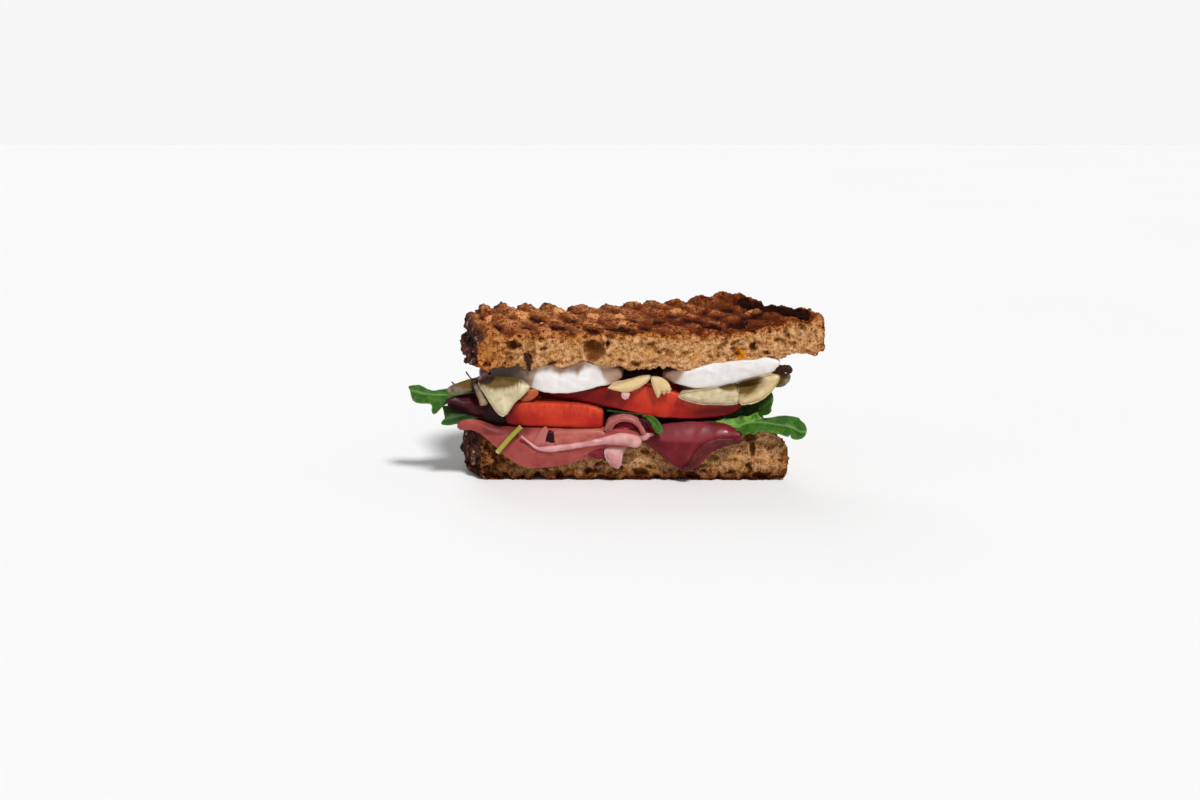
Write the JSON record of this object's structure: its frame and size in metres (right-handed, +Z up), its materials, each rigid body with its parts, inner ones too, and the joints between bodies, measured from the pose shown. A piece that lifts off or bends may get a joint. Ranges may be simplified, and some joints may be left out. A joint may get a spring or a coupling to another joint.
{
  "type": "panini half",
  "caption": "Half of a grilled, pressed sandwich of seeded bread, cut straight across, with ham, tomato, artichoke, mozzarella and salad leaves.",
  "frame": {"origin": "middle of the bounding box in X and Y, at the level of the rib crests that the lower slice rests on", "axes": "+X along the straight cut, towards the raised thin end of the upper slice; +Y from the cut towards the crust behind it; +Z up, from the lower slice to the upper one"},
  "size_m": [0.1458, 0.0653, 0.0605],
  "materials": {
    "toasted_bread": "rough toasted crust with charred grooves",
    "cured_ham": "moist, slightly glossy",
    "dark_cured_ham": "moist, slightly glossy",
    "tomato_flesh": "wet cut flesh",
    "mozzarella": "smooth, moist",
    "artichoke": "fibrous, lightly oiled",
    "salad_leaf": "waxy leaf",
    "leaf_stalk": "waxy stalk"
  },
  "bodies": {
    "root": {"artichoke_back": "artichoke", "artichoke_cup": "artichoke", "artichoke_far": "artichoke", "artichoke_left": "artichoke", "artichoke_middle_left": "artichoke", "artichoke_middle_right": "artichoke", "artichoke_right": "artichoke", "artichoke_side": "artichoke", "artichoke_tip": "artichoke", "bread_base": "toasted_bread", "bread_top": "toasted_bread", "ham_arch": "cured_ham", "ham_back": "cured_ham", "ham_curl": "cured_ham", "ham_left": "cured_ham", "ham_pleat": "cured_ham", "ham_right": "dark_cured_ham", "ham_upper": "dark_cured_ham", "leaf_back_left": "salad_leaf", "leaf_back_right": "salad_leaf", "leaf_left": "salad_leaf", "leaf_left_low": "salad_leaf", "leaf_middle": "salad_leaf", "leaf_right": "salad_leaf", "leaf_right_upper": "salad_leaf", "leaf_stalk": "leaf_stalk", "leaf_under": "salad_leaf", "mozzarella_back": "mozzarella", "mozzarella_left": "mozzarella", "mozzarella_right": "mozzarella", "tomato_back": "tomato_flesh", "tomato_left": "tomato_flesh", "tomato_right": "tomato_flesh"}
  },
  "joints": []
}
